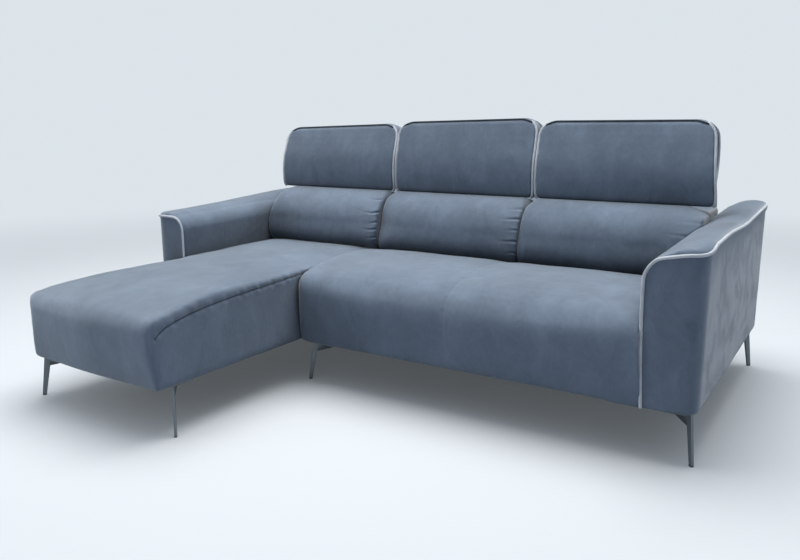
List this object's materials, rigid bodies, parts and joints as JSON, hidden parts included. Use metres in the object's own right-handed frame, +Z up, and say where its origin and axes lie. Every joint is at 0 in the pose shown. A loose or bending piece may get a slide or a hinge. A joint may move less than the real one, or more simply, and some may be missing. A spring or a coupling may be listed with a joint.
{
  "type": "corner sofa",
  "caption": "Modular corner sofa in blue-grey velvet: chaise module, bench module, low padded arms, folding ratchet headrests and splayed metal legs.",
  "frame": {"origin": "on the floor under the middle of the bounding box", "axes": "+X right seen from the front, +Y to the back, +Z up"},
  "size_m": [2.06, 1.7, 0.916],
  "materials": {
    "velvet": "short-pile velvet, blue-grey",
    "piping": "smooth woven cord cover, pale grey",
    "dust_cloth": "thin non-woven, black",
    "foam": "open-cell upholstery foam",
    "webbing": "woven elastic strap",
    "plywood": "bare plywood",
    "softwood": "planed softwood and plywood",
    "leg_metal": "satin gun-metal coating",
    "glide": "moulded, black",
    "zinc_steel": "zinc-plated",
    "hinge_steel": "zinc-plated stamping"
  },
  "bodies": {
    "sofa": {"bench_back_cover": "velvet", "bench_back_foam": "foam", "bench_back_frame": "softwood", "bench_base_cross_rails": "softwood", "bench_base_side_rails": "softwood", "bench_dust_cover": "dust_cloth", "bench_seat_cover": "velvet", "bench_seat_foam": "foam", "bench_webbing": "webbing", "chaise_back_cover": "velvet", "chaise_back_foam": "foam", "chaise_back_frame": "softwood", "chaise_base_cross_rails": "softwood", "chaise_base_side_rails": "softwood", "chaise_dust_cover": "dust_cloth", "chaise_seat_cover": "velvet", "chaise_seat_foam": "foam", "chaise_webbing": "webbing", "hinge_pawls": "hinge_steel", "hinge_pins": "zinc_steel", "hinge_plates": "hinge_steel", "left_arm_cover": "velvet", "left_arm_foam": "foam", "left_arm_frame": "softwood", "left_arm_piping": "piping", "leg_bench_front_left": "leg_metal", "leg_bench_front_right": "leg_metal", "leg_bench_rear_left": "leg_metal", "leg_bench_rear_right": "leg_metal", "leg_blocks": "softwood", "leg_chaise_front_left": "leg_metal", "leg_chaise_front_right": "leg_metal", "leg_chaise_rear_left": "leg_metal", "leg_chaise_rear_right": "leg_metal", "leg_glides": "glide", "leg_screws": "zinc_steel", "lumbar_cushion_left": "velvet", "lumbar_cushion_middle": "velvet", "lumbar_cushion_right": "velvet", "module_catches": "hinge_steel", "module_hooks": "hinge_steel", "right_arm_cover": "velvet", "right_arm_foam": "foam", "right_arm_frame": "softwood", "right_arm_piping": "piping"},
    "headrest_left": {"headrest_left_board": "plywood", "headrest_left_cover": "velvet", "headrest_left_foam": "foam", "headrest_left_hinge_arms": "hinge_steel", "headrest_left_piping": "piping"},
    "headrest_middle": {"headrest_middle_board": "plywood", "headrest_middle_cover": "velvet", "headrest_middle_foam": "foam", "headrest_middle_hinge_arms": "hinge_steel", "headrest_middle_piping": "piping"},
    "headrest_right": {"headrest_right_board": "plywood", "headrest_right_cover": "velvet", "headrest_right_foam": "foam", "headrest_right_hinge_arms": "hinge_steel", "headrest_right_piping": "piping"}
  },
  "joints": [
    {"name": "headrest_left_fold", "type": "hinge", "parent": "sofa", "child": "headrest_left", "pos_m": [-0.608, 0.465, 0.628], "axis": [-1, 0, 0], "range_deg": [0, 70]},
    {"name": "headrest_middle_fold", "type": "hinge", "parent": "sofa", "child": "headrest_middle", "pos_m": [-0.008, 0.465, 0.628], "axis": [-1, 0, 0], "range_deg": [0, 70]},
    {"name": "headrest_right_fold", "type": "hinge", "parent": "sofa", "child": "headrest_right", "pos_m": [0.6, 0.465, 0.628], "axis": [-1, 0, 0], "range_deg": [0, 70]}
  ]
}
